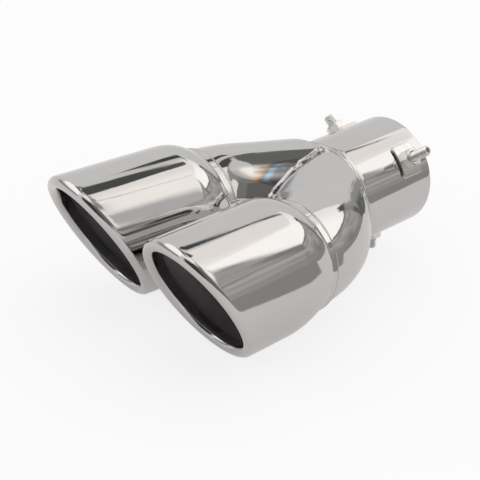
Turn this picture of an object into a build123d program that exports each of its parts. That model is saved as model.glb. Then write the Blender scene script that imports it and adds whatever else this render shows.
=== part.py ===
from build123d import *
import os
from math import cos, radians, sin, tan

# Twin exhaust tip: a round inlet sleeve, two bent legs and two oval slash-cut tips side by side.
# Millimetres. The origin is the centre of the sleeve's open rear end. +Y runs out of that end along
# the bore, so the outlets face -Y. +Z is up, and the tips lie side by side along X.

# Inlet sleeve, which slips over the tail pipe
sleeve_diameter = 63.5
sleeve_wall = 1.5
sleeve_length = 60.0
sleeve_edge_break = 0.4

# Legs: bent tubes that meet on the plane between them
leg_diameter = 59.6
leg_wall = 1.5
leg_angle = 33.0
leg_bend_radius = 52.5
leg_depth = 58.0
leg_flare_margin = 0.15
leg_run = 62.0
leg_stop = 1.0

# Dome in which the legs close down to the sleeve
dome_radius = 26.6
dome_rim_angle = 8.0
dome_side_angle = 45.0

# Tips: oval tubes with a shoulder and a collar at the back and a rolled lip at the mouth
tip_spacing = 71.2
tip_width = 66.0
tip_height = 77.0
tip_wall = 1.2
tip_splay = 2.1
tip_rise = 1.8
tip_length = 71.6
slash_angle = 32.0
neck_lift = 0.5
collar_length = 4.0
collar_clearance = 0.05
shoulder_length = 20.0
shoulder_power = 2.2
shoulder_steps = 4
lip_radius = 3.3
lip_return = 8.0
lip_fillet_share = 0.97

# Weld beads
weld_width = 5.0
weld_height = 1.1
seam_bead_radius = 1.9
neck_bead = 1.6
weld_root = 1.0

# Clamp: three pads, nuts and socket screws round the sleeve
clamp_setback = 15.5
clamp_angles = {"right": 41.0, "left": 148.0, "bottom": 279.0}
pad_thickness = 1.5
pad_width = 19.0
pad_length = 15.0
pad_corner = 1.5
nut_across_flats = 10.0
nut_height = 5.0
nut_chamfer = 0.6
screw_diameter = 6.0
screw_length = 14.0
screw_clearance = 0.05
screw_pass_clearance = 0.3
screw_chamfer = 0.6
socket_across_flats = 3.0
socket_depth = 3.5
screw_stand = {"right": 11.25, "left": 6.25, "bottom": 6.75}

sleeve_radius = sleeve_diameter / 2
bore_radius = sleeve_radius - sleeve_wall
leg_radius = leg_diameter / 2
pad_radius = sleeve_radius + pad_thickness
nut_face_radius = pad_radius + nut_height
collar_radius = leg_radius + collar_clearance + tip_wall
far = 400.0
through = 8.0
almost_parallel = 0.01
from_base = (Align.CENTER, Align.CENTER, Align.MIN)

splay, rise, slash = radians(tip_splay), radians(tip_rise), radians(slash_angle)
mouth_way = Vector(sin(splay) * cos(rise), -cos(splay) * cos(rise), sin(rise))
leg_way = Vector(-sin(radians(leg_angle)), cos(radians(leg_angle)), 0)
neck = Vector(tip_spacing / 2, -sleeve_length - leg_depth, neck_lift)
tip_up = (Vector(0, 0, 1) - mouth_way * mouth_way.Z).normalized()
tip_plane = Plane(origin=neck, x_dir=tip_up, z_dir=mouth_way)


def ring(outer_radius, inner_radius, length):
    """A tube on the Y axis that runs from y = 0 to y = -length."""
    face = Plane.XZ * (Circle(outer_radius) - Circle(inner_radius))
    return extrude(face, amount=length)


def rod(plane, radius, length):
    """A cylinder that starts on the plane and runs along its normal."""
    return plane * Cylinder(radius, length, align=from_base)


def beyond(plane):
    """A very large block on the side that the plane's normal points to."""
    return plane * Pos(0, 0, far / 2) * Box(far, far, far)


def radial_plane(angle, radius):
    """A plane across a clamp screw's axis, at that radius from the sleeve's axis."""
    way = Vector(cos(radians(angle)), 0, sin(radians(angle)))
    centre = way * radius - Vector(0, clamp_setback, 0)
    return Plane(origin=centre, x_dir=(0, 1, 0), z_dir=way)


def make_sleeve():
    sleeve = ring(sleeve_radius, bore_radius, sleeve_length)
    rear_edges = sleeve.faces().sort_by(Axis.Y)[-1].edges()
    sleeve = chamfer(rear_edges, sleeve_edge_break)
    for angle in clamp_angles.values():
        hole = Cylinder(screw_diameter / 2 + screw_pass_clearance, through)
        sleeve -= radial_plane(angle, sleeve_radius) * hole
    return sleeve


def leg_path():
    """From inside the collar straight to the neck, then round the bend to the leg's straight run."""
    start = neck + mouth_way * collar_length
    along = mouth_way * -1
    turn = radians(along.get_angle(leg_way))
    inward = (leg_way - along * along.dot(leg_way)).normalized()
    centre = neck + inward * leg_bend_radius

    def on_bend(angle):
        return centre + (along * sin(angle) - inward * cos(angle)) * leg_bend_radius

    end = on_bend(turn)
    stub = Line(start, neck)
    bend = ThreePointArc(neck, on_bend(turn / 2), end)
    return Wire([stub.edge(), bend.edge()]), end


def dome(inset):
    """The round form that closes the legs down to the sleeve, made smaller by inset."""
    lean, side = radians(dome_rim_angle), radians(dome_side_angle)
    radius = dome_radius - inset
    centre_r = sleeve_radius - dome_radius * sin(lean)
    centre_y = -sleeve_length - dome_radius * cos(lean)

    def on_arc(angle):
        return (centre_r + radius * sin(angle), centre_y + radius * cos(angle))

    first = lean if inset == 0 else 0.0
    top, low = on_arc(first), on_arc(side)
    foot = neck.Y - 2 * collar_length
    outer_end = (low[0] + (low[1] - foot) / tan(side), foot)
    outline = [
        Line((0, top[1]), top),
        ThreePointArc(top, on_arc((first + side) / 2), low),
        Line(low, outer_end),
        Line(outer_end, (0, foot)),
        Line((0, foot), (0, top[1])),
    ]
    face = make_face(Curve() + outline)
    return revolve(face, axis=Axis.Y)


def leg_solid(inset):
    """One leg as a filled form, made smaller by inset all round."""
    path, end = leg_path()
    start_plane = Plane(origin=path @ 0, z_dir=mouth_way * -1)
    tube = sweep(start_plane * Circle(leg_radius - inset), path=path)
    to_sleeve = (-sleeve_length - end.Y) / leg_way.Y
    slope = (sleeve_radius + leg_flare_margin - leg_radius) / to_sleeve
    flared = leg_radius + leg_run * slope
    cone = Cone(leg_radius - inset, flared - inset, leg_run, align=from_base)
    run = Plane(origin=end, z_dir=leg_way) * cone
    return (tube + run) & dome(inset)


def make_leg(filled):
    """The right leg: hollow, cut on the plane between the legs, with a rim that stops the pipe."""
    way_in = rod(Plane.XZ.offset(sleeve_length), bore_radius - leg_stop, 2 * leg_wall)
    leg = filled - leg_solid(leg_wall) - way_in
    return leg & beyond(Plane.YZ)


def oval(inset, height_at):
    """The tip's section made smaller by inset, at that distance in front of the neck."""
    return Pos(0, 0, height_at) * Ellipse(tip_height / 2 - inset, tip_width / 2 - inset)


def tip_back(inset):
    """Collar and shoulder as a filled form, from the neck to the start of the oval body."""
    collar = collar_radius - inset
    shoulder_end = collar_length + shoulder_length
    sections = []
    for step in range(shoulder_steps + 1):
        share = step / shoulder_steps
        drop = share**shoulder_power
        half_height = tip_height / 2 - inset
        half_width = tip_width / 2 - inset
        section = Ellipse(
            half_height + (collar - half_height) * drop,
            half_width + (collar - half_width) * drop,
        )
        sections.append(Pos(0, 0, shoulder_end - shoulder_length * share) * section)
    return loft(sections) + rod(Plane.XY, collar, collar_length)


def slash_plane(setback):
    """The slanting plane of the mouth, moved back into the tip by setback."""
    normal = Vector(-sin(slash), 0, cos(slash))
    return Plane(origin=Vector(0, 0, tip_length) - normal * setback, z_dir=normal)


def fillet_on(solid, plane, radius):
    """Rounds every edge of the face that lies on the plane."""
    faces = [
        face
        for face in solid.faces().filter_by(GeomType.PLANE)
        if face.normal_at().get_angle(plane.z_dir) < almost_parallel
    ]
    return fillet(ShapeList(faces).edges(), radius)


def lip_ring(outer_inset, inner_inset, setback, radius):
    """A band of the tip between two insets, cut by the slash and rounded over at its front."""
    start = collar_length + shoulder_length
    band = extrude(oval(outer_inset, start) - oval(inner_inset, start), amount=far / 2)
    band -= beyond(slash_plane(setback))
    return fillet_on(band, slash_plane(setback), radius)


def make_tip():
    """Collar, shoulder, oval body and a lip that is rolled back inside the mouth."""
    start = collar_length + shoulder_length
    roll = 2 * lip_radius
    lip = lip_ring(0, roll, 0, lip_radius * lip_fillet_share)
    core = extrude(oval(roll, start), amount=far / 2) - beyond(slash_plane(lip_return))
    filled = tip_back(0) + lip + core
    pocket = lip_ring(
        tip_wall, roll - tip_wall, tip_wall, (lip_radius - tip_wall) * lip_fillet_share
    )
    hollow = extrude(oval(tip_wall, start), amount=far / 2) - beyond(slash_plane(lip_return))
    tip = filled - tip_back(tip_wall) - hollow - pocket
    return tip_plane * tip


def make_neck_weld(leg_filled):
    """A fillet weld between the collar's end and the leg."""
    root = leg_radius - weld_root
    foot = -neck_bead * (collar_radius - root) / (collar_radius - leg_radius)
    outline = Polyline((root, 0), (collar_radius, 0), (root, foot), close=True)
    bead = revolve(Plane.XZ * make_face(outline), axis=Axis.Z)
    return tip_plane * bead - leg_filled


def make_sleeve_weld(legs_filled):
    """A low bead round the joint between the sleeve and the legs."""
    low, high = -sleeve_length - weld_width / 2, -sleeve_length + weld_width / 2
    crest = (sleeve_radius + weld_height, -sleeve_length)
    root = sleeve_radius - weld_root
    outline = [
        ThreePointArc((sleeve_radius, low), crest, (sleeve_radius, high)),
        Line((sleeve_radius, high), (root, high)),
        Line((root, high), (root, low)),
        Line((root, low), (sleeve_radius, low)),
    ]
    bead = revolve(make_face(Curve() + outline), axis=Axis.Y)
    return bead - ring(sleeve_radius, root - weld_root, sleeve_length) - legs_filled


def make_seam_weld(leg_filled, legs_filled, sleeve_weld):
    """A bead along the V-shaped seam where the two legs meet."""
    half = leg_filled & beyond(Plane.YZ)
    cut = half.faces().filter_by(Plane.YZ)[0]
    joint = Plane.ZX.offset(-sleeve_length)
    edges = [edge for edge in cut.edges() if edge.center().Y < joint.origin.Y - seam_bead_radius]
    seam = Wire(edges)
    start_plane = Plane(origin=seam @ 0, z_dir=seam % 0)
    bead = sweep(start_plane * Circle(seam_bead_radius), path=seam)
    return bead - beyond(joint) - legs_filled - sleeve_weld


def make_pad(angle):
    """A curved rectangular pad on the sleeve, with a clearance hole for its screw."""
    band = ring(pad_radius, sleeve_radius, clamp_setback + pad_length)
    outline = RectangleRounded(pad_length, pad_width, pad_corner)
    block = extrude(radial_plane(angle, 0) * outline, amount=far)
    hole = Cylinder(screw_diameter / 2 + screw_pass_clearance, through)
    return (band & block) - radial_plane(angle, sleeve_radius) * hole


def make_nut(angle):
    """A chamfered hex nut that sits on its pad."""
    top = nut_face_radius
    hexagon = RegularPolygon(nut_across_flats / 2, 6, major_radius=False)
    prism = extrude(hexagon, amount=top)
    corner = nut_across_flats / 2 / cos(radians(30))
    shoulder = (corner, top - nut_chamfer)
    crown = (corner - 2 * nut_chamfer, top)
    outline = Polyline((0, 0), (corner, 0), shoulder, crown, (0, top), close=True)
    prism &= revolve(Plane.XZ * make_face(outline), axis=Axis.Z)
    prism -= Cylinder(screw_diameter / 2 + screw_clearance, far)
    seat = Plane.XZ * Cylinder(pad_radius, far)
    return radial_plane(angle, 0) * prism - seat


def make_screw(angle, stand):
    """A socket screw whose outer end stands that far out of its nut."""
    screw = rod(Plane.XY.offset(-screw_length), screw_diameter / 2, screw_length)
    screw = chamfer(screw.edges().filter_by(GeomType.CIRCLE), screw_chamfer)
    socket = RegularPolygon(socket_across_flats / 2, 6, major_radius=False)
    screw -= extrude(socket, amount=-socket_depth)
    return radial_plane(angle, nut_face_radius + stand) * screw


def mirrored(solid):
    return mirror(solid, about=Plane.YZ)


def build():
    filled = leg_solid(0)
    both_filled = filled + mirrored(filled)
    leg = make_leg(filled)
    tip = make_tip()
    neck_weld = make_neck_weld(filled)
    sleeve_weld = make_sleeve_weld(both_filled)
    parts = {
        "inlet_sleeve": make_sleeve(),
        "right_leg": leg,
        "left_leg": mirrored(leg),
        "right_tip": tip,
        "left_tip": mirrored(tip),
        "right_neck_weld": neck_weld,
        "left_neck_weld": mirrored(neck_weld),
        "sleeve_weld": sleeve_weld,
        "leg_seam_weld": make_seam_weld(filled, both_filled, sleeve_weld),
    }
    for side, angle in clamp_angles.items():
        parts[f"{side}_clamp_pad"] = make_pad(angle)
        parts[f"{side}_clamp_nut"] = make_nut(angle)
        parts[f"{side}_clamp_screw"] = make_screw(angle, screw_stand[side])
    return parts


os.makedirs("parts", exist_ok=True)
for name, solid in build().items():
    solid.label = name
    export_step(solid, f"parts/{name}.step")
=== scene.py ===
from math import cos, pi, radians, sin, sqrt, tan

import bpy
import numpy as np
from mathutils import Matrix, Vector


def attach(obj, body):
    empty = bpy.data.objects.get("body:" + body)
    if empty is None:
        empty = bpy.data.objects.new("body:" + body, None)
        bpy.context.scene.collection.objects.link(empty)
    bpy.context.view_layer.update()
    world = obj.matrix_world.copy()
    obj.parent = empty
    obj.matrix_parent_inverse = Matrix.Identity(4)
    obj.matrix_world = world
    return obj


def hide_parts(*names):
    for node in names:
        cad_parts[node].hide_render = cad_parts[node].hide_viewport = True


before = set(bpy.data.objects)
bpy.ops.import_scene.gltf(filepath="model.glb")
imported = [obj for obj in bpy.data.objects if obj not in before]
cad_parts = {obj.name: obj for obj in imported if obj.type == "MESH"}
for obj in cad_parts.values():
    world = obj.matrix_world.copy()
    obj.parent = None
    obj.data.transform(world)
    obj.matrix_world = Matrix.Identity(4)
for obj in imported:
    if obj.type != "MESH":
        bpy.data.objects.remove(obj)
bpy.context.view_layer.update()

# Sizes of the part, in millimetres, as the solids have them
SLEEVE_R = 31.75
BORE_R = 30.25
SLEEVE_END = -60.0
SLEEVE_LAP = 1.2
SLEEVE_EDGE = 0.4
LEG_R = 29.8
LEG_WALL = 1.5
LEG_ANGLE = radians(33.0)
LEG_BEND = 52.5
FLARE_MARGIN = 0.15
DOME_R = 26.6
DOME_RIM = radians(8.0)
DOME_SIDE = radians(45.0)
NECK = np.array([35.6, -118.0, 0.5])
TIP_A = 38.5
TIP_B = 33.0
TIP_WALL = 1.2
TIP_LENGTH = 71.6
SPLAY = radians(2.1)
RISE = radians(1.8)
SLASH = radians(32.0)
COLLAR = 4.0
COLLAR_R = 31.05
SHOULDER = 20.0
SHOULDER_POWER = 2.2
LIP_R = 3.3
LIP_RETURN = 8.0
PAD_R = 33.25
PAD_WIDTH = 19.0
PAD_LENGTH = 15.0
PAD_CORNER = 1.5
PAD_BEVEL = 0.45
NUT_FACE_R = 38.25
NUT_FLATS = 10.0
NUT_CORNER = 0.35
NUT_BORE_R = 3.05
HOLE_R = 3.3
SCREW_LENGTH = 14.0
SCREW_Y = -15.5

# Each screw's angle round the sleeve, in degrees, and how far it stands out of its nut
SCREWS = {"right": (41.0, 11.25), "left": (148.0, 6.25), "bottom": (279.0, 6.75)}

# Sizes that only the visual model has, in millimetres
COLLAR_BEVEL = 0.2
THREAD_PITCH = 1.0
THREAD_R = 2.96
THREAD_DEPTH = 0.56
THREAD_END_R = 2.1
SOCKET_FLATS = 3.0
SOCKET_DEPTH = 4.0
NUT_CROWN_R = 4.55
NUT_CHAMFER = 0.55
SEAM_WELD_R = 2.1
NECK_WELD_R = 30.0
NECK_WELD_OUT = 1.15
NECK_WELD_ALONG = 1.45
SLEEVE_WELD_R = 30.95
SLEEVE_WELD_OUT = 1.85
SLEEVE_WELD_ALONG = 2.9
RIDGE_HEIGHT = 0.13
WELD_RIDGE_PITCH = 1.9
GROUND_RIDGE_PITCH = 2.4
GROUND_RISE = 0.35
GROUND_REACH = 8.0

# Heat tint of the weld: how far it spreads from the seam, and where along the seam's height
TINT_REACH = 20.0
TINT_HEIGHT = 24.0
TINT_SPAN = 6.5

# Depth of the soft waves and of the fine grain in the steel's surface, in metres
WAVE_HEIGHT = 0.00012
GRAIN_HEIGHT = 0.0002

# Edges that turn by more than this angle, in degrees, are shaded sharp
SHARP = 35.0

MOUTH_WAY = np.array([sin(SPLAY) * cos(RISE), -cos(SPLAY) * cos(RISE), sin(RISE)])
TIP_UP = np.array([0, 0, 1]) - MOUTH_WAY * MOUTH_WAY[2]
TIP_UP /= np.linalg.norm(TIP_UP)
TIP_SIDE = np.cross(MOUTH_WAY, TIP_UP)
TIP_AXES = np.array([TIP_UP, TIP_SIDE, MOUTH_WAY])
MIRROR = np.array([-1.0, 1.0, 1.0])


def smooth(x, low, high):
    """0 below low, 1 above high, and a smooth step between them."""
    t = np.clip((x - low) / (high - low), 0, 1)
    return t * t * (3 - 2 * t)


def unit(v):
    """The same direction with a length of 1."""
    return v / np.linalg.norm(v, axis=-1, keepdims=True)


def shade(mesh, sharp):
    """Smooth shading, with sharp edges where the surface turns by more than that angle."""
    mesh.polygons.foreach_set("use_smooth", [True] * len(mesh.polygons))
    mesh.set_sharp_from_angle(angle=radians(sharp))


def mesh_object(name, points, faces, sharp):
    """A smooth-shaded object from points in millimetres, with its faces turned outward."""
    points = np.asarray(points).reshape(-1, 3)
    quads = np.array([face for face in faces if len(face) == 4])
    a, b, c, d = (points[quads[:, k]] for k in range(4))
    volume = np.einsum("ij,ij->", a, np.cross(b, c)) + np.einsum("ij,ij->", a, np.cross(c, d))
    if volume < 0:
        faces = [face[::-1] for face in faces]
    mesh = bpy.data.meshes.new(name)
    mesh.from_pydata((points / 1000).tolist(), [], faces)
    mesh.validate()
    shade(mesh, sharp)
    mesh.update()
    obj = bpy.data.objects.new(name, mesh)
    bpy.context.scene.collection.objects.link(obj)
    return obj


def grid_faces(rows, columns, wrap_rows, wrap_columns):
    """Quads of a grid whose points are numbered row by row."""
    faces = []
    for i in range(rows if wrap_rows else rows - 1):
        for j in range(columns if wrap_columns else columns - 1):
            i2, j2 = (i + 1) % rows, (j + 1) % columns
            faces.append((i * columns + j, i * columns + j2, i2 * columns + j2, i2 * columns + j))
    return faces


def grid_object(name, grid, closed=True, sharp=SHARP):
    """A tube-like grid that closes round its columns, and along its rows too where closed."""
    rows, columns = grid.shape[:2]
    return mesh_object(name, grid, grid_faces(rows, columns, closed, True), sharp)


def capped_tube(name, grid, sharp=50.0):
    """A tube with a flat face over each end."""
    rows, columns = grid.shape[:2]
    faces = grid_faces(rows, columns, False, True)
    faces.append(tuple(range(columns))[::-1])
    faces.append(tuple(range((rows - 1) * columns, rows * columns)))
    return mesh_object(name, grid, faces, sharp)


def floats(obj, name, values):
    """Stores one number per vertex, which the materials read."""
    layer = obj.data.attributes.new(name, "FLOAT", "POINT")
    layer.data.foreach_set("value", np.asarray(values, np.float32).ravel())


def slash_height(x):
    """Height of the mouth's slanting plane over the neck at that place across the tip."""
    return TIP_LENGTH + x * tan(SLASH)


def tip_grid(columns=288):
    """The tip's sheet as one closed skin: along the outside, round the lip and back inside."""
    u = np.linspace(0, 2 * pi, columns, endpoint=False)
    cu, su = np.cos(u), np.sin(u)
    normal = unit(np.stack([cu / TIP_A, su / TIP_B, 0 * u], -1))
    edge = np.stack([TIP_A * cu, TIP_B * su, 0 * u], -1)
    slash_normal = np.array([-sin(SLASH), 0, cos(SLASH)])

    def wall(inset, height):
        """The oval of the body, moved inward by inset."""
        at = edge - normal * inset
        at[:, 2] = height
        return at

    # Centre line of the rolled lip, and the way its roll faces
    spine = edge - normal * LIP_R
    spine[:, 2] = slash_height(spine[:, 0]) - LIP_R / cos(SLASH)
    forward = unit(slash_normal - normal * (normal @ slash_normal)[:, None])

    def back(share, inset):
        """Section of shoulder and collar: share runs from 0 at the body to 1 at the collar."""
        drop = share**SHOULDER_POWER
        a = TIP_A + (COLLAR_R - TIP_A) * drop - inset
        b = TIP_B + (COLLAR_R - TIP_B) * drop - inset
        height = COLLAR + SHOULDER * (1 - share)
        return np.stack([a * cu, b * su, 0 * u + height], -1)

    def collar(height, inset):
        """The round collar, moved inward by inset."""
        radius = COLLAR_R - inset
        return np.stack([radius * cu, radius * su, 0 * u + height], -1)

    body_start = COLLAR + SHOULDER
    collar_heights = (0.0, 0.25, 1.5, 3.0)
    rows, inside = [], []

    def add(section, dark):
        """One more row of the skin. dark is 1 where it lies inside the tip, where the material
        paints shade.
        """
        rows.append(section)
        inside.append(np.full(columns, float(dark)))

    for height in collar_heights:
        add(collar(height, 0 if height else COLLAR_BEVEL), 0)
    for share in np.linspace(1, 0, 36):
        add(back(share, 0), 0)
    for share in np.linspace(0, 1, 24)[1:]:
        height = body_start + (spine[:, 2] - body_start) * share
        add(wall(0, height), 0)
    for angle in np.linspace(0, pi, 30)[1:]:
        add(spine + LIP_R * (normal * cos(angle) + forward * sin(angle)), 0)
    # The hem: the sheet's edge, rolled back inside the mouth, with a rounded end
    hem = 2 * LIP_R
    hem_front = spine[:, 2]
    hem_end = slash_height((edge - normal * hem)[:, 0]) - LIP_RETURN / cos(SLASH)
    hem_round = 0.35
    for share in np.linspace(0, 1, 6)[1:]:
        add(wall(hem, hem_front + (hem_end - hem_front) * share), 0)
    add(wall(hem - TIP_WALL / 2, hem_end - hem_round), 1)
    add(wall(hem - TIP_WALL, hem_end), 1)
    for share in np.linspace(0, 1, 4)[1:]:
        add(wall(hem - TIP_WALL, hem_end + (hem_front - hem_end) * share), 1)
    for angle in np.linspace(pi, 0, 12)[1:]:
        radius = LIP_R - TIP_WALL
        add(spine + radius * (normal * cos(angle) + forward * sin(angle)), 1)
    for share in np.linspace(1, 0, 12)[1:]:
        height = body_start + (spine[:, 2] - body_start) * share
        add(wall(TIP_WALL, height), 1)
    for share in np.linspace(0, 1, 24)[1:]:
        add(back(share, TIP_WALL), 1)
    for height in collar_heights[::-1]:
        add(collar(height, TIP_WALL if height else TIP_WALL - COLLAR_BEVEL), 1)
    local = np.array(rows)
    return NECK + local @ TIP_AXES, np.array(inside)


def make_tip(side):
    """The tip's shell, with the number that tells its inner face, which gets painted shade, from
    its outer one.
    """
    grid, inside = tip_grid()
    obj = grid_object(side + "_tip_shell", grid * MIRROR if side == "left" else grid)
    floats(obj, "inside", inside)
    return obj


# The leg's path: a short straight stub inside the collar, the bend, and the straight run
ALONG = -MOUTH_WAY
LEG_WAY = np.array([-sin(LEG_ANGLE), cos(LEG_ANGLE), 0])
TURN = float(np.arccos(ALONG @ LEG_WAY))
INWARD = unit(LEG_WAY - ALONG * (ALONG @ LEG_WAY))
BEND_CENTRE = NECK + INWARD * LEG_BEND
BEND_LENGTH = LEG_BEND * TURN
BEND_END = BEND_CENTRE + (ALONG * sin(TURN) - INWARD * cos(TURN)) * LEG_BEND
TO_SLEEVE = (SLEEVE_END - BEND_END[1]) / LEG_WAY[1]
FLARE = (SLEEVE_R + FLARE_MARGIN - LEG_R) / TO_SLEEVE


def leg_axis(s):
    """Point and direction of the leg's axis at that distance from the neck."""
    turned = np.clip(s, 0, BEND_LENGTH) / LEG_BEND
    c, d = np.cos(turned)[..., None], np.sin(turned)[..., None]
    at = BEND_CENTRE + (ALONG * d - INWARD * c) * LEG_BEND
    way = ALONG * c + INWARD * d
    at = at + way * (np.minimum(s, 0) + np.maximum(s - BEND_LENGTH, 0))[..., None]
    return at, way


def leg_tube_radius(s):
    """The leg's radius there: even round the bend, and widening on the straight run."""
    soft = 5.0
    beyond = s - BEND_LENGTH
    return LEG_R + FLARE * (beyond + np.sqrt(beyond**2 + soft**2)) / 2


def dome_distance(p):
    """Distance from the round form in which the legs close down to the sleeve."""
    r = np.hypot(p[..., 0], p[..., 2]) - (SLEEVE_R - DOME_R * sin(DOME_RIM))
    y = p[..., 1] - (SLEEVE_END - DOME_R * cos(DOME_RIM))
    turned = np.arctan2(r, y)
    on_arc = np.hypot(r, y)
    on_side = r * sin(DOME_SIDE) + y * cos(DOME_SIDE)
    return np.where(turned < 0, y, np.where(turned < DOME_SIDE, on_arc, on_side)) - DOME_R


def leg_point(s, theta):
    """The leg's skin on the ray that leaves the axis at s in the direction theta."""
    at, way = leg_axis(s)
    across = np.broadcast_to(np.cross(ALONG, INWARD), way.shape)
    outward = np.cross(way, across)
    ray = outward * np.cos(theta)[..., None] + across * np.sin(theta)[..., None]
    radius = leg_tube_radius(s)
    furthest = 60.0
    low, high = np.zeros_like(s), np.full_like(s, furthest)
    for _ in range(34):
        mid = (low + high) / 2
        p = at + ray * mid[..., None]
        tube, dome = mid - radius, dome_distance(p)
        blend = 0.2 + 3.6 * smooth(SLEEVE_END - p[..., 1], 0.5, 7.0)
        near = np.maximum(blend - np.abs(tube - dome), 0) / blend
        out = np.maximum(tube, dome) + near**2 * blend / 4 > 0
        high, low = np.where(out, mid, high), np.where(out, low, mid)
    return at + ray * ((low + high) / 2)[..., None]


def leg_grid(rows=150, columns=240):
    """The leg's skin from inside the collar to the sleeve's end or the plane between the legs."""
    theta = np.linspace(0, 2 * pi, columns, endpoint=False)

    def past(s):
        """Whether the skin at s lies past the leg's end."""
        p = leg_point(s, theta)
        return (p[:, 1] > SLEEVE_END) | (p[:, 0] < 0)

    # Where each ray's line of skin ends: the first step past the end, then halved again and again
    past_bend = 45.0
    steps = np.linspace(0, BEND_LENGTH + past_bend, 160)
    first = np.full(columns, steps[-1])
    done = np.zeros(columns, bool)
    for s in steps:
        hit = past(np.full(columns, s)) & ~done
        first[hit] = s
        done |= hit
    low, high = first - (steps[1] - steps[0]), first
    for _ in range(24):
        mid = (low + high) / 2
        out = past(mid)
        high, low = np.where(out, mid, high), np.where(out, low, mid)
    share = np.linspace(0, 1, rows)[:, None]
    start = -COLLAR
    s = start + (low[None, :] - start) * share
    grid = leg_point(s, np.broadcast_to(theta, s.shape))
    on_plane = np.abs(grid[-1, :, 0]) < 0.02
    grid[-1, on_plane, 0] = 0.0
    return grid


def make_leg(side):
    """The leg's skin, thickened inward."""
    grid = leg_grid()
    obj = grid_object(side + "_leg_tube", grid * MIRROR if side == "left" else grid, closed=False)
    shell = obj.modifiers.new("wall", "SOLIDIFY")
    shell.thickness = LEG_WALL / 1000
    shell.offset = -1.0
    return obj


def apply_modifiers(obj):
    """Bakes the modifiers into the mesh."""
    graph = bpy.context.evaluated_depsgraph_get()
    graph.update()
    mesh = bpy.data.meshes.new_from_object(obj.evaluated_get(graph))
    obj.modifiers.clear()
    old, obj.data = obj.data, mesh
    bpy.data.meshes.remove(old)
    shade(mesh, SHARP)


def seam_line(leg, samples=460):
    """The edge where the legs meet, on the plane between them, with even steps."""
    row = leg[-1]
    on_plane = np.flatnonzero(row[:, 0] == 0)
    start = on_plane[np.argmax(np.diff(np.append(on_plane, on_plane[0] + len(row))))]
    order = [(start + 1 + k) % len(row) for k in range(len(row))]
    points = np.array([row[k] for k in order if row[k, 0] == 0])
    order = np.argsort(-points[:, 2])
    points = points[order]
    length = np.append(0, np.cumsum(np.linalg.norm(np.diff(points, axis=0), axis=1)))
    at = np.linspace(0, length[-1], samples)
    return np.stack([np.interp(at, length, points[:, k]) for k in range(3)], -1), at


def wobble(t, seed):
    """A slow uneven wave between about -1 and 1, the same on every run."""
    total = np.zeros_like(t)
    for k in range(1, 6):
        total = total + np.sin(t * (0.37 * k + 0.11 * seed) + seed * k * 1.7) / k
    return total / 1.6


def make_seam_weld(leg):
    """An uneven bead along the seam, a little rounder in some places and shifted in others."""
    line, at = seam_line(leg)
    way = unit(np.gradient(line, axis=0))
    across = np.broadcast_to(np.array([1.0, 0, 0]), way.shape)
    up = unit(np.cross(way, across))
    beta = np.linspace(0, 2 * pi, 40, endpoint=False)
    cb, sb = np.cos(beta)[None, :, None], np.sin(beta)[None, :, None]
    lobes = np.cos(3 * beta[None, :] + 0.9 * wobble(at * 0.5, 2)[:, None])
    lobe, swell, drift = 0.10, 0.22, 0.45
    radius = SEAM_WELD_R + lobe * lobes + swell * wobble(at * 0.9, 3)[:, None]
    shift = across * (drift * wobble(at * 0.6, 5))[:, None]
    grid = (line + shift)[:, None] + radius[..., None] * (across[:, None] * cb + up[:, None] * sb)
    grid[..., 1] = np.minimum(grid[..., 1], SLEEVE_END + 1.0)
    return capped_tube("seam_bead", grid)


def round_sleeve(r, turn, y):
    """A point at radius r and that turn round the sleeve's axis."""
    return np.stack([r * np.cos(turn), y + 0 * r, r * np.sin(turn)], -1)


def ring_angles(steps, columns):
    """Angles for a bead: its way round the axis, and round its own section."""
    turn = np.linspace(0, 2 * pi, steps, endpoint=False)[:, None]
    beta = np.linspace(0, 2 * pi, columns, endpoint=False)[None, :]
    return turn, beta


def make_sleeve_weld():
    """A low bead with shallow ridges along it, which vary slowly round the sleeve."""
    turn, beta = ring_angles(960, 40)
    slow = np.sin(3 * turn + 1) * 0.5 + np.sin(8 * turn + 2.5) * 0.3 + np.sin(17 * turn) * 0.2
    across = (SLEEVE_WELD_ALONG + 0.2 * slow) * np.sin(beta)
    ridges = RIDGE_HEIGHT * np.cos(2 * pi * across / WELD_RIDGE_PITCH + 1.6 * slow)
    ridges = ridges * np.clip(np.cos(beta) * 2, 0, 1)
    r = SLEEVE_WELD_R + (SLEEVE_WELD_OUT + 0.08 * slow) * np.cos(beta) + ridges
    y = SLEEVE_END + 0.5 + 0.15 * slow + across
    return grid_object("sleeve_bead", round_sleeve(r, turn, y), sharp=60.0)


def make_neck_weld(side):
    """A narrow bead round the rim of the tip's collar, of slowly varying width."""
    turn, beta = ring_angles(720, 32)
    seed = 2.0
    slow = np.sin(3 * turn + seed) * 0.5 + np.sin(7 * turn + 2.1 * seed) * 0.3
    slow = slow + np.sin(12 * turn + seed) * 0.2
    r = NECK_WELD_R + (NECK_WELD_OUT + 0.10 * slow) * np.cos(beta)
    z = -0.1 + (NECK_WELD_ALONG + 0.14 * slow) * np.sin(beta)
    turn = turn + 0 * beta
    grid = NECK + np.stack([r * np.cos(turn), r * np.sin(turn), z], -1) @ TIP_AXES
    return grid_object(side + "_neck_bead", grid * MIRROR if side == "left" else grid, sharp=60.0)


def beside_weld(y, turn):
    """Height of the ridges that grinding has left on the sleeve, strongest at its sides."""
    slow = np.sin(3 * turn + 1) * 0.6 + np.sin(8 * turn + 2.5) * 0.4
    zone = 1 - smooth(y, SLEEVE_END + 4.5, SLEEVE_END + GROUND_REACH)
    ridges = RIDGE_HEIGHT * np.cos(2 * pi * (y - SLEEVE_END) / GROUND_RIDGE_PITCH + 0.9 * slow)
    rise = GROUND_RISE * (1 - smooth(y, SLEEVE_END + 1.0, SLEEVE_END + GROUND_REACH - 1.0))
    return zone * (ridges + rise) * (0.25 + 0.75 * np.cos(turn) ** 2)


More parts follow.
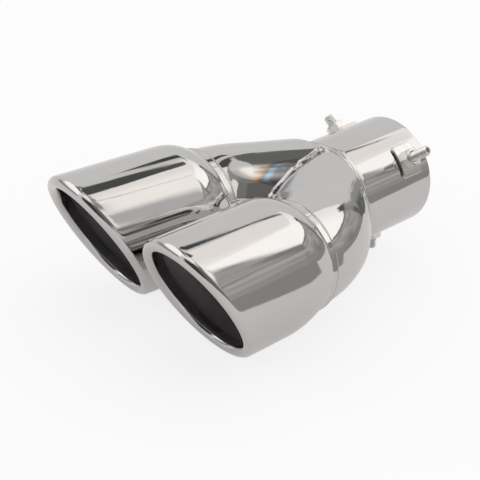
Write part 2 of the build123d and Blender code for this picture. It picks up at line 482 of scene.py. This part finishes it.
def radial_place(angle, x, y, r):
    """x runs along +Y from the screw's axis, y across it and r out from the sleeve's axis."""
    a = radians(angle)
    way, side = np.array([cos(a), 0, sin(a)]), np.array([-sin(a), 0, cos(a)])
    x, y, r = np.broadcast_arrays(x, y, r)
    grid = way * r[..., None] + side * y[..., None]
    grid[..., 1] += SCREW_Y + x
    return grid


def make_sleeve():
    """The sleeve turned from its outline, with a hole drilled for each screw."""
    edge = SLEEVE_EDGE
    start, ground_end = SLEEVE_END - SLEEVE_LAP, SLEEVE_END + GROUND_REACH
    outline = [(SLEEVE_R, y) for y in np.linspace(start, ground_end, 52)]
    outline += [(SLEEVE_R, y) for y in np.linspace(ground_end, -edge, 40)[1:]]
    for t in np.linspace(0, pi / 2, 6)[1:]:
        outline.append((SLEEVE_R - edge + edge * cos(t), -edge + edge * sin(t)))
    for t in np.linspace(0, pi / 2, 6):
        outline.append((BORE_R + edge - edge * sin(t), -edge + edge * cos(t)))
    outline += [(BORE_R, y) for y in np.linspace(-edge, start, 60)[1:]]
    outline = np.array(outline)
    turn = np.linspace(0, 2 * pi, 288, endpoint=False)[None, :]
    r, y = outline[:, :1] + 0 * turn, outline[:, 1:] + 0 * turn
    r = r + np.where(r > SLEEVE_R - 0.01, beside_weld(y, turn), 0)
    obj = grid_object("sleeve_tube", round_sleeve(r, turn, y))
    drills = []
    for angle, _ in SCREWS.values():
        turn = np.linspace(0, 2 * pi, 40, endpoint=False)
        x, y = HOLE_R * np.cos(turn), HOLE_R * np.sin(turn)
        rows = [radial_place(angle, x, y, depth + 0 * turn) for depth in (26.0, 36.0)]
        drill = capped_tube("drill", np.array(rows))
        cut = obj.modifiers.new("hole", "BOOLEAN")
        cut.object, cut.operation, cut.solver = drill, "DIFFERENCE", "EXACT"
        drills.append(drill)
    apply_modifiers(obj)
    for drill in drills:
        bpy.data.objects.remove(drill)
    return obj


def rounded_outline(half_x, half_y, corner):
    """Points round a rectangle with round corners, the same number on every side."""
    steps, between = 6, 6
    points = []
    corners = [(1, 1, 0), (-1, 1, 1), (-1, -1, 2), (1, -1, 3)]
    for k, (sx, sy, quarter) in enumerate(corners):
        cx, cy = sx * (half_x - corner), sy * (half_y - corner)
        for t in np.linspace(0, pi / 2, steps):
            angle = quarter * pi / 2 + t
            points.append((cx + corner * cos(angle), cy + corner * sin(angle)))
        nx, ny, next_quarter = corners[(k + 1) % 4]
        start = np.array(points[-1])
        first = next_quarter * pi / 2
        end = np.array([
            nx * (half_x - corner) + corner * cos(first),
            ny * (half_y - corner) + corner * sin(first),
        ])
        for share in np.linspace(0, 1, between + 2)[1:-1]:
            points.append(tuple(start + (end - start) * share))
    return np.array(points)


def make_pad(side, angle):
    """The curved pad: up its hole, out over the top, down the bevelled edge and back beneath."""
    outer = rounded_outline(PAD_LENGTH / 2, PAD_WIDTH / 2, PAD_CORNER)
    turn = np.arctan2(outer[:, 1], outer[:, 0])
    hole = np.stack([HOLE_R * np.cos(turn), HOLE_R * np.sin(turn)], -1)
    bevel = PAD_BEVEL
    inner = rounded_outline(PAD_LENGTH / 2 - bevel, PAD_WIDTH / 2 - bevel, PAD_CORNER - bevel)
    rows = []

    def add(points, lift):
        """One more row, at that height over the sleeve."""
        x, y = points[:, 0], points[:, 1]
        rows.append(radial_place(angle, x, y, np.sqrt(SLEEVE_R**2 - y**2) + lift))

    thick = PAD_R - SLEEVE_R
    rim = hole * 1.03
    add(hole, 0.0)
    add(hole, thick - 0.1)
    for share in np.linspace(0, 1, 9):
        add(rim + (inner - rim) * share, thick)
    for t in np.linspace(0, pi / 2, 6)[1:]:
        add(inner + (outer - inner) * sin(t), thick - bevel * (1 - cos(t)))
    add(outer, 0.0)
    for share in np.linspace(1, 0, 9)[1:-1]:
        add(hole + (outer - hole) * share, 0.0)
    return grid_object(side + "_pad_plate", np.array(rows))


def hex_outline(flats, corner):
    """Points round a hexagon of that size across the flats, with round corners."""
    points = []
    reach = (flats / 2 - corner) / cos(pi / 6)
    for k in range(6):
        centre = np.array([cos(k * pi / 3), sin(k * pi / 3)]) * reach
        for t in np.linspace(-pi / 6, pi / 6, 5):
            angle = k * pi / 3 + t
            points.append(centre + corner * np.array([cos(angle), sin(angle)]))
        start = points[-1]
        nxt = np.array([cos((k + 1) * pi / 3), sin((k + 1) * pi / 3)]) * reach
        first = (k + 1) * pi / 3 - pi / 6
        end = nxt + corner * np.array([cos(first), sin(first)])
        for share in np.linspace(0, 1, 6)[1:-1]:
            points.append(start + (end - start) * share)
    return np.array(points)


def make_nut(side, angle):
    """The nut on its pad: up the flats, over the chamfered corners and down the bore."""
    outline = hex_outline(NUT_FLATS, NUT_CORNER)
    reach = np.hypot(outline[:, 0], outline[:, 1])
    way = outline / reach[:, None]
    crown, bore = NUT_CROWN_R, NUT_BORE_R
    top = NUT_FACE_R
    shoulder = top - np.maximum(reach - crown, 0) * NUT_CHAMFER
    rows = []

    def add(r, height):
        """One more row, at radius r round the screw and that height over the sleeve's axis."""
        points = way * np.broadcast_to(r, reach.shape)[:, None]
        rows.append(radial_place(angle, points[:, 0], points[:, 1], height))

    seat = np.sqrt(PAD_R**2 - outline[:, 1] ** 2)
    add(reach, seat)
    add(reach, seat + 0.3)
    for share in np.linspace(0, 1, 5)[1:-1]:
        add(reach, seat + (shoulder - seat) * share)
    add(reach, shoulder - 0.12)
    add(reach - 0.04, shoulder)
    add(crown + (reach - crown) * 0.5, top - (top - shoulder) * 0.5)
    add(crown, top - 0.02)
    add(crown - 0.15, top)
    countersink = 0.45
    add(bore + 0.5, top)
    add(bore, top - countersink)
    hole_end = np.sqrt(PAD_R**2 - (way[:, 1] * bore) ** 2)
    for share in np.linspace(0, 1, 4)[1:]:
        add(bore, (top - countersink) + (hole_end - top + countersink) * share)
    return grid_object(side + "_nut_hex", np.array(rows), sharp=24.0)


def make_screw(side, angle, stand):
    """A threaded shank with a chamfered hexagon socket in its outer end."""
    end = NUT_FACE_R + stand
    start = end - SCREW_LENGTH
    rows_per_mm = 12
    turn = np.linspace(0, 2 * pi, 48, endpoint=False)
    rows = []

    def add(r, height):
        """One more row, at radius r round the screw and that height over the sleeve's axis."""
        rows.append(radial_place(angle, r * np.cos(turn), r * np.sin(turn), height + 0 * turn))

    # The dimple in the inner end
    for r in (0.2, 0.9, 1.5):
        add(r, start + 0.7 - 0.4 * (r / 1.5))
    add(1.7, start)
    # The thread, with flat crests and roots, cut down to a chamfer at both ends
    for z in np.linspace(0, SCREW_LENGTH, int(SCREW_LENGTH * rows_per_mm) + 1):
        phase = (z / THREAD_PITCH - turn / (2 * pi)) % 1.0
        flank = np.clip(np.abs(phase - 0.5) * 2 * 1.25 - 0.08, 0, 1)
        r = THREAD_R - THREAD_DEPTH * flank
        from_end = min(z, SCREW_LENGTH - z)
        add(np.minimum(r, THREAD_END_R + from_end), start + z)
    # The hexagon socket in the outer end
    socket = hex_outline(SOCKET_FLATS, 0.08)
    angles = np.arctan2(socket[:, 1], socket[:, 0]) % (2 * pi)
    reach = np.hypot(socket[:, 0], socket[:, 1])
    order = np.argsort(angles)
    hexagon = np.interp(turn, angles[order], reach[order], period=2 * pi)
    add(1.95, end)
    add(hexagon + 0.12, end)
    add(hexagon, end - 0.14)
    for share in (0.3, 0.6, 0.85):
        add(hexagon, end - SOCKET_DEPTH * share)
    add(0.6, end - SOCKET_DEPTH + 0.1)
    add(0.2, end - SOCKET_DEPTH)
    return capped_tube(side + "_screw_thread", np.array(rows), 30.0)


def node_tree(name):
    """A new material, its nodes and its main shader."""
    material = bpy.data.materials.new(name)
    material.use_nodes = True
    tree = material.node_tree
    return material, tree, tree.nodes["Principled BSDF"]


def add_node(tree, kind, inputs=None, **settings):
    """A node with these settings. An input is a number, or the socket to link it to."""
    node = tree.nodes.new(kind)
    for key, value in settings.items():
        setattr(node, key, value)
    for key, value in (inputs or {}).items():
        if isinstance(value, bpy.types.NodeSocket):
            tree.links.new(value, node.inputs[key])
        else:
            node.inputs[key].default_value = value
    return node


def ramp(tree, factor, stops):
    """A colour that changes with the factor from stop to stop."""
    node = add_node(tree, "ShaderNodeValToRGB", {"Fac": factor})
    elements = node.color_ramp.elements
    while len(elements) < len(stops):
        elements.new(0.5)
    for element, (place, colour) in zip(elements, stops):
        element.position = place
        element.color = (*colour, 1)
    return node.outputs["Color"]


def noise(tree, scale, detail, stretch=(1, 1, 1), roughness=0.5):
    """Noise over the object, drawn out along an axis whose factor in stretch is small."""
    place = add_node(tree, "ShaderNodeTexCoord").outputs["Object"]
    mapping = add_node(tree, "ShaderNodeMapping", {"Vector": place, "Scale": stretch})
    texture = add_node(tree, "ShaderNodeTexNoise", {
        "Vector": mapping.outputs["Vector"], "Scale": scale, "Detail": detail,
        "Roughness": roughness,
    })
    return texture.outputs["Fac"]


def grey(value):
    """A colour without a hue."""
    return (value, value, value)


def layer(tree, below, above, mask, blend="MIX"):
    """Lays one colour over another where the mask is 1."""
    node = add_node(tree, "ShaderNodeMix", data_type="RGBA", blend_type=blend)
    for name, value in (("Factor", mask), ("A", below), ("B", above)):
        if isinstance(value, bpy.types.NodeSocket):
            tree.links.new(value, node.inputs[name])
        else:
            node.inputs[name].default_value = (*value, 1) if isinstance(value, tuple) else value
    return node.outputs["Result"]


# Colours of the heat tint, from the bright steel to the seam
HEAT_TINT = [
    (0.00, (1.0, 1.0, 1.0)),
    (0.18, (1.0, 1.0, 1.0)),
    (0.34, (1.0, 0.82, 0.62)),
    (0.42, (0.84, 0.58, 0.42)),
    (0.47, (0.46, 0.48, 0.62)),
    (0.53, (0.48, 0.74, 0.96)),
    (0.60, (0.68, 0.78, 0.86)),
    (0.70, (0.44, 0.45, 0.48)),
    (1.00, (0.36, 0.36, 0.37)),
]


def polished(name, tint=False, waves=(1, 0.08, 1)):
    """Mirror-polished stainless steel, with a matt inner face whose dark colour is painted shade.
    """
    material, tree, shader = node_tree(name)
    cloud = noise(tree, 38.0, 4.0)
    colour = ramp(tree, cloud, [(0.3, (0.60, 0.591, 0.582)), (0.7, (0.582, 0.576, 0.57))])
    haze = noise(tree, 55.0, 5.0, roughness=0.6)
    rough = ramp(tree, haze, [(0.35, grey(0.030)), (0.75, grey(0.075))])
    # Soft waves, and fine polishing lines on top of them
    wave = noise(tree, 130.0, 2.0, waves)
    buffed = add_node(
        tree, "ShaderNodeBump", {"Strength": 1.0, "Distance": WAVE_HEIGHT, "Height": wave},
    )
    lines = noise(tree, 2600.0, 2.0, (1, 0.06, 1))
    bump = add_node(tree, "ShaderNodeBump", {
        "Strength": 0.02, "Distance": GRAIN_HEIGHT, "Height": lines,
        "Normal": buffed.outputs["Normal"],
    })
    if tint:
        heat = add_node(tree, "ShaderNodeAttribute", attribute_name="near_seam")
        colour = layer(tree, colour, ramp(tree, heat.outputs["Fac"], HEAT_TINT), 1.0, "MULTIPLY")
    # The inner faces are rough and not metallic, and their dark colour is painted shade for the
    # inside of the tubes
    inside = add_node(tree, "ShaderNodeAttribute", attribute_name="inside").outputs["Fac"]
    inner_shade_cloud = noise(tree, 90.0, 6.0)
    painted_inner_shade = ramp(tree, inner_shade_cloud, [(0.3, (0.20, 0.195, 0.205)), (0.75, (0.26, 0.23, 0.24))])
    colour = layer(tree, colour, painted_inner_shade, inside)
    rough = layer(tree, rough, grey(0.62), inside)
    tree.links.new(layer(tree, grey(1.0), grey(0.0), inside), shader.inputs["Metallic"])
    tree.links.new(colour, shader.inputs["Base Color"])
    tree.links.new(rough, shader.inputs["Roughness"])
    tree.links.new(bump.outputs["Normal"], shader.inputs["Normal"])
    return material


def satin(name, base, low, high, scale, strength):
    """Metal with a satin grain: plated, or as welded. Its roughness lies between low and high."""
    material, tree, shader = node_tree(name)
    shader.inputs["Metallic"].default_value = 1.0
    grain = noise(tree, scale, 4.0)
    darker = tuple(c * 0.93 for c in base)
    colour = ramp(tree, grain, [(0.3, base), (0.75, darker)])
    rough = ramp(tree, grain, [(0.3, grey(low)), (0.7, grey(high))])
    bump = add_node(
        tree, "ShaderNodeBump", {"Strength": strength, "Distance": GRAIN_HEIGHT, "Height": grain},
    )
    tree.links.new(colour, shader.inputs["Base Color"])
    tree.links.new(rough, shader.inputs["Roughness"])
    tree.links.new(bump.outputs["Normal"], shader.inputs["Normal"])
    return material


tip_steel = polished("polished_tip_steel")
leg_steel = polished("polished_leg_steel", tint=True, waves=(0.45, 0.45, 0.45))
sleeve_steel = polished("polished_sleeve_steel")
bead_steel = satin("polished_weld_steel", (0.52, 0.505, 0.50), 0.16, 0.30, 400.0, 0.05)
pad_steel = satin("pad_steel", (0.68, 0.67, 0.64), 0.14, 0.24, 260.0, 0.02)
nut_steel = satin("plated_nut_steel", (0.80, 0.79, 0.76), 0.20, 0.32, 300.0, 0.03)
screw_steel = satin("plated_screw_steel", (0.90, 0.89, 0.87), 0.34, 0.46, 400.0, 0.05)


def dress(obj, material, body, node):
    """Gives the object its material, hangs it under its body and hides the imported piece that it
    stands for.
    """
    obj.data.materials.clear()
    obj.data.materials.append(material)
    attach(obj, body)
    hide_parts(node)


def distance_to(points, line):
    """Distance from each point to the nearest point of a line, in blocks to save memory."""
    out = np.empty(len(points))
    block = 2000
    for k in range(0, len(points), block):
        gap = points[k:k + block, None] - line[None]
        out[k:k + block] = np.sqrt((gap**2).sum(-1)).min(1)
    return out


def vertex_points(obj):
    """The places of the object's vertices, in millimetres."""
    points = np.empty(len(obj.data.vertices) * 3, np.float32)
    obj.data.vertices.foreach_get("co", points)
    return points.reshape(-1, 3) * 1000


leg_skin = leg_grid()
seam = seam_line(leg_skin, 160)[0]
for side in ("right", "left"):
    dress(make_tip(side), tip_steel, "exhaust_tip", side + "_tip")
    leg = make_leg(side)
    skin_size = len(leg.data.vertices)
    apply_modifiers(leg)
    points = vertex_points(leg)
    away = distance_to(points, seam)
    uneven = 1.1 * wobble(points[:, 1] * 0.35 + points[:, 2] * 0.2, 4)
    spread = 0 * away
    if side == "left":
        spread = TINT_REACH * smooth(TINT_SPAN - np.abs(points[:, 2] - TINT_HEIGHT), 0, 4)
    floats(leg, "near_seam", 1 - np.clip((away + uneven) / np.maximum(spread, 0.1), 0, 1))
    # The inner copy of the skin gets the painted shade of the inner faces
    floats(leg, "inside", np.arange(len(points)) >= skin_size)
    dress(leg, leg_steel, "exhaust_tip", side + "_leg")
    dress(make_neck_weld(side), bead_steel, "exhaust_tip", side + "_neck_weld")

sleeve = make_sleeve()
points = vertex_points(sleeve)
# The bore takes most of the painted shade of the inner faces
in_bore = np.hypot(points[:, 0], points[:, 2]) < BORE_R + 0.05
bore_painted_shade = 0.8
floats(sleeve, "inside", in_bore * bore_painted_shade)
dress(sleeve, sleeve_steel, "exhaust_tip", "inlet_sleeve")
dress(make_sleeve_weld(), bead_steel, "exhaust_tip", "sleeve_weld")
dress(make_seam_weld(leg_skin), bead_steel, "exhaust_tip", "leg_seam_weld")
for side, (angle, stand) in SCREWS.items():
    dress(make_pad(side, angle), pad_steel, "exhaust_tip", side + "_clamp_pad")
    dress(make_nut(side, angle), nut_steel, "exhaust_tip", side + "_clamp_nut")
    screw = make_screw(side, angle, stand)
    dress(screw, screw_steel, side + "_screw", side + "_clamp_screw")

# Camera at the photograph's viewing angle: angles, then distance in millimetres, then pixels
AZIMUTH, ELEVATION, ROLL = radians(43.2), radians(29.83), radians(4.76)
DISTANCE, FOCAL, CENTRE_X, CENTRE_Y = 757.98, 1405.99, 255.19, 225.63
FRAME_SIZE, SENSOR = 480.0, 36.0
target = Vector((0, -110, 0))
back = Vector((sin(AZIMUTH) * cos(ELEVATION), -cos(AZIMUTH) * cos(ELEVATION), sin(ELEVATION)))
right = Vector((cos(AZIMUTH), sin(AZIMUTH), 0))
up = back.cross(right)
right, up = right * cos(ROLL) + up * sin(ROLL), up * cos(ROLL) - right * sin(ROLL)
camera_data = bpy.data.cameras.new("camera")
camera = bpy.data.objects.new("camera", camera_data)
bpy.context.scene.collection.objects.link(camera)
facing = Matrix((right, up, back)).transposed().to_4x4()
camera.matrix_world = Matrix.Translation((target + back * DISTANCE) / 1000) @ facing
camera_data.sensor_width = SENSOR
camera_data.lens = FOCAL / FRAME_SIZE * SENSOR
camera_data.shift_x = (FRAME_SIZE / 2 - CENTRE_X) / FRAME_SIZE
camera_data.shift_y = (CENTRE_Y - FRAME_SIZE / 2) / FRAME_SIZE
camera_data.clip_start, camera_data.clip_end = 0.01, 50.0
bpy.context.scene.camera = camera


class Value:
    """A number in a node tree, so that a formula reads as one."""

    def __init__(self, tree, socket):
        self.tree, self.socket = tree, socket

    def math(self, operation, other=None):
        """The result of that operation on this number, and on the other one if it takes two."""
        node = self.tree.nodes.new("ShaderNodeMath")
        node.operation = operation
        for slot, value in enumerate((self, other)):
            if isinstance(value, Value):
                self.tree.links.new(value.socket, node.inputs[slot])
            elif value is not None:
                node.inputs[slot].default_value = value
        return Value(self.tree, node.outputs["Value"])

    def __sub__(self, other):
        return self.math("SUBTRACT", other)

    def __mul__(self, other):
        return self.math("MULTIPLY", other)

    def ease(self, low, high):
        """0 at low, 1 at high, with a smooth step between them."""
        inputs = {"Value": self.socket, "From Min": low, "From Max": high}
        node = add_node(
            self.tree, "ShaderNodeMapRange", inputs, interpolation_type="SMOOTHSTEP",
        )
        return Value(self.tree, node.outputs["Result"])


def patch(tree, way, below, colour, corners, soft):
    """Lays a colour over a convex area, whose corners are azimuths and elevations."""
    inside = None
    for start, end in zip(corners, corners[1:] + corners[:1]):
        dx, dy = end[0] - start[0], end[1] - start[1]
        length = sqrt(dx * dx + dy * dy)
        edge = (-dy / length, dx / length, (start[0] * dy - start[1] * dx) / length)
        node = add_node(tree, "ShaderNodeVectorMath", operation="DOT_PRODUCT")
        tree.links.new(way, node.inputs[0])
        node.inputs[1].default_value = edge
        gap = Value(tree, node.outputs["Value"])
        inside = gap if inside is None else inside.math("MINIMUM", gap)
    return layer(tree, below, colour, inside.ease(-soft, soft).socket)


# Colour of the wall on the right, low down
WALL = (0.36, 0.345, 0.335)


def make_world():
    """Even white light, and a studio with soft boxes that only mirrored rays see.

    Places are azimuths and elevations, in degrees. Each area of the plan has a colour, corners
    and the softness of its edge, and lies over the ones before it.
    """
    world = bpy.data.worlds.new("studio")
    bpy.context.scene.world = world
    world.use_nodes = True
    tree = world.node_tree
    background = tree.nodes["Background"]
    place = add_node(tree, "ShaderNodeTexCoord")
    split = add_node(tree, "ShaderNodeSeparateXYZ", {"Vector": place.outputs["Generated"]})
    x, y, z = (Value(tree, split.outputs[k]) for k in "XYZ")
    to_degrees = 180 / pi
    azimuth = x.math("ARCTAN2", y) * to_degrees
    elevation = z.math("ARCSINE") * to_degrees
    way = add_node(tree, "ShaderNodeCombineXYZ", {
        "X": azimuth.socket, "Y": elevation.socket, "Z": 1.0,
    }).outputs["Vector"]

    def fade(first, second, value, low, high):
        """The first colour where the value is low, the second where it is high."""
        return layer(tree, first, second, value.ease(low, high).socket)

    # The wall on the right, with its long soft streaks
    drawn_out = add_node(
        tree, "ShaderNodeMapping", {"Vector": way, "Scale": (0.07, 0.22, 1.0)},
    )
    streaks = add_node(tree, "ShaderNodeTexNoise", {
        "Vector": drawn_out.outputs["Vector"], "Scale": 1.0, "Detail": 3.0, "Roughness": 0.6,
    }).outputs["Fac"]
    uneven = ramp(tree, streaks, [(0.36, (0.76, 0.76, 0.755)), (0.64, (1.28, 1.27, 1.23))])
    side_wall = fade(WALL, (0.49, 0.48, 0.475), elevation, 0, 14)
    streaked = layer(tree, side_wall, uneven, 1.0, "MULTIPLY")
    side_wall = fade(side_wall, streaked, elevation, 0, 5)

    high_box_below = fade((0.88, 0.86, 0.82), (0.74, 0.72, 0.69), azimuth, 14, 34)
    high_box_above = fade((0.90, 0.88, 0.84), (1.46, 1.42, 1.35), azimuth, 6, 34)
    room = fade((0.81, 0.80, 0.79), (0.86, 0.85, 0.84), elevation, 10, 34)
    plan = [
        # Light overhead on the left and behind, and the dim gap below it
        ((1.50, 1.48, 1.46), [(-200, 38), (-60, 40), (-47, 46), (-47, 92), (-200, 92)], 3.0),
        ((1.30, 1.29, 1.27), [(100, 72), (200, 62), (200, 92), (80, 92)], 4.0),
        ((0.34, 0.34, 0.34), [(-172, 10), (-92, 14), (-92, 30), (-172, 32)], 5.0),
        # The dark room on the right and behind
        ((0.27, 0.26, 0.25), [(60, -4), (112, -4), (108, 59), (56, 57)], 2.0),
        (fade((0.19, 0.185, 0.18), (0.06, 0.06, 0.06), azimuth, 112, 128),
         [(84, 2), (150, 2), (172, 20), (166, 56), (108, 60), (84, 56)], 5.0),
        # The dim ceiling, darker on the left
        (fade((0.42, 0.41, 0.40), (0.31, 0.30, 0.295), azimuth, 38, 66),
         [(-2, 46), (44, 46), (110, 56), (108, 62), (-2, 58)], 1.5),
        (fade(grey(0.19), grey(0.38), azimuth, -26, 2),
         [(-44, 36), (-38, 42.5), (-31, 47.6), (2, 52), (8, 80), (-10, 88), (-46, 84)], 1.2),
        ((0.36, 0.36, 0.36), [(-30, 81), (90, 82), (120, 92), (-60, 92)], 1.5),
        # The second soft box, high on the right
        (fade(high_box_below, high_box_above, elevation, 61, 71),
         [(5, 58.5), (60, 58.5), (106, 61), (108, 70), (64, 81.5), (10, 81.5)], 1.6),
        # The wall on the right
        (side_wall, [(-2, -40), (58, -40), (60, 20), (44, 30), (30, 45), (-2, 30)], 1.0),
        ((1.15, 1.13, 1.10), [(47.5, 27), (51, 20), (60, 20), (60, 46), (52, 50), (42, 50)], 1.0),
        # The large soft box, in three parts
        (fade((1.30, 1.27, 1.25), (1.56, 1.53, 1.50), azimuth, -14, 14),
         [(-35, 36), (-8, 28.5), (-4, 24.6), (38.4, 24.6), (28, 44), (-17, 43.8),
          (-19, 42.8), (-32, 37.6)], 0.7),
        (fade((1.22, 1.17, 1.13), (1.46, 1.40, 1.35), azimuth, 4, 30),
         [(-19, 43), (28, 43), (22, 53), (10, 56.5), (-3, 57), (-22, 47)], 0.7),
        (fade((1.40, 1.33, 1.27), (1.28, 1.23, 1.18), azimuth, 40, 47),
         [(28, 43.9), (45, 26.3), (49, 26.8), (44, 40.5), (36, 47), (22, 54.5)], 0.7),
        # Its dim right end
        (fade((1.15, 1.12, 1.10), (0.66, 0.64, 0.645), azimuth, 44.5, 49),
         [(43.5, 37), (44.5, 27), (50, 19), (55, 17.5), (54.5, 26), (51.5, 32), (48.5, 38)], 0.8),
        # Its frame: a dark edge on the left, at the top and below
        (grey(0.07), [(-38, 37.8), (-27.5, 41.9), (-27.5, 43.9), (-36, 42.5)], 0.5),
        (grey(0.08), [(-32, 41.6), (-12, 43.1), (-12, 43.6), (-32, 43.9)], 0.4),
        ((0.10, 0.10, 0.095),
         [(-33, 48.2), (-7, 49.6), (-3.5, 51.5), (-1.5, 54.5), (-2, 58), (-20, 56.5)], 0.7),
        (grey(0.26), [(-6, 23.1), (38, 23.1), (38, 24.5), (-6, 24.5)], 0.4),
        (grey(0.12), [(-7.5, 24), (-0.5, 24), (-0.5, 29), (-6.5, 31)], 0.8),
        (grey(0.40), [(-8, 1), (-2, 1), (-1, 24), (-6, 25)], 1.5),
        (fade(grey(0.17), grey(0.36), elevation, 10, 17),
         [(-2.6, -3), (0.6, -3), (0.6, 24), (-2.6, 24)], 0.6),
        (grey(0.31), [(36, 24.6), (37.5, 18), (41, 18), (39.5, 26), (37.8, 26.6)], 0.8),
    ]
    for colour, corners, soft in plan:
        room = patch(tree, way, room, colour, corners, soft)

    path = add_node(tree, "ShaderNodeLightPath")
    colour = layer(tree, grey(1.0), room, path.outputs["Is Glossy Ray"])
    tree.links.new(colour, background.inputs["Color"])
    background.inputs["Strength"].default_value = 1.0


def make_floor():
    """A pale floor under the part, which rests on both tips and on the lowest screw."""
    contacts = np.array([[35.6, -190.0, -38.0], [-35.6, -190.0, -38.0], [7.0, -15.5, -44.4]])
    normal = unit(np.cross(contacts[1] - contacts[0], contacts[2] - contacts[0]))
    normal = normal if normal[2] > 0 else -normal
    height = contacts[0] @ normal / 1000
    mesh = bpy.data.meshes.new("floor")
    half = 6.0
    corners = []
    for px, py in ((-half, -half), (half, -half), (half, half), (-half, half)):
        corners.append((px, py, (height - px * normal[0] - py * normal[1]) / normal[2]))
    mesh.from_pydata(corners, [], [(0, 1, 2, 3)])
    floor = bpy.data.objects.new("floor", mesh)
    bpy.context.scene.collection.objects.link(floor)
    material, tree, shader = node_tree("pale_floor")
    shader.inputs["Base Color"].default_value = (0.90, 0.885, 0.88, 1)
    shader.inputs["Roughness"].default_value = 0.9
    shader.inputs["Specular IOR Level"].default_value = 0.0
    place = add_node(tree, "ShaderNodeNewGeometry")
    split = add_node(tree, "ShaderNodeSeparateXYZ", {"Vector": place.outputs["Position"]})
    x, y = Value(tree, split.outputs["X"]), Value(tree, split.outputs["Y"])
    # The far side lies past all three of these lines, in metres
    far_x, slope, offset, far_y = 0.186, 0.69, 0.143, -0.030
    beyond = (x - far_x).math("MINIMUM", x - y * slope - offset).math("MINIMUM", y - far_y)
    far_side = beyond.ease(-0.010, 0.012)
    path = add_node(tree, "ShaderNodeLightPath")
    glossy = Value(tree, path.outputs["Is Glossy Ray"])
    seen = Value(tree, path.outputs["Is Camera Ray"]) * 0.80
    surface = shader.outputs["BSDF"]
    # White for the camera; for mirrored rays paler, and as the wall on the far side
    glows = (
        (seen, grey(1.0)),
        (glossy * 0.5, (0.77, 0.75, 0.745)),
        (glossy * far_side, WALL),
    )
    for share, colour in glows:
        glow = add_node(tree, "ShaderNodeEmission", {"Color": (*colour, 1), "Strength": 1.0})
        mixed = add_node(tree, "ShaderNodeMixShader")
        tree.links.new(share.socket, mixed.inputs["Fac"])
        tree.links.new(surface, mixed.inputs[1])
        tree.links.new(glow.outputs["Emission"], mixed.inputs[2])
        surface = mixed.outputs["Shader"]
    tree.links.new(surface, tree.nodes["Material Output"].inputs["Surface"])
    mesh.materials.append(material)


make_world()
make_floor()
bpy.context.scene.view_settings.view_transform = "Standard"
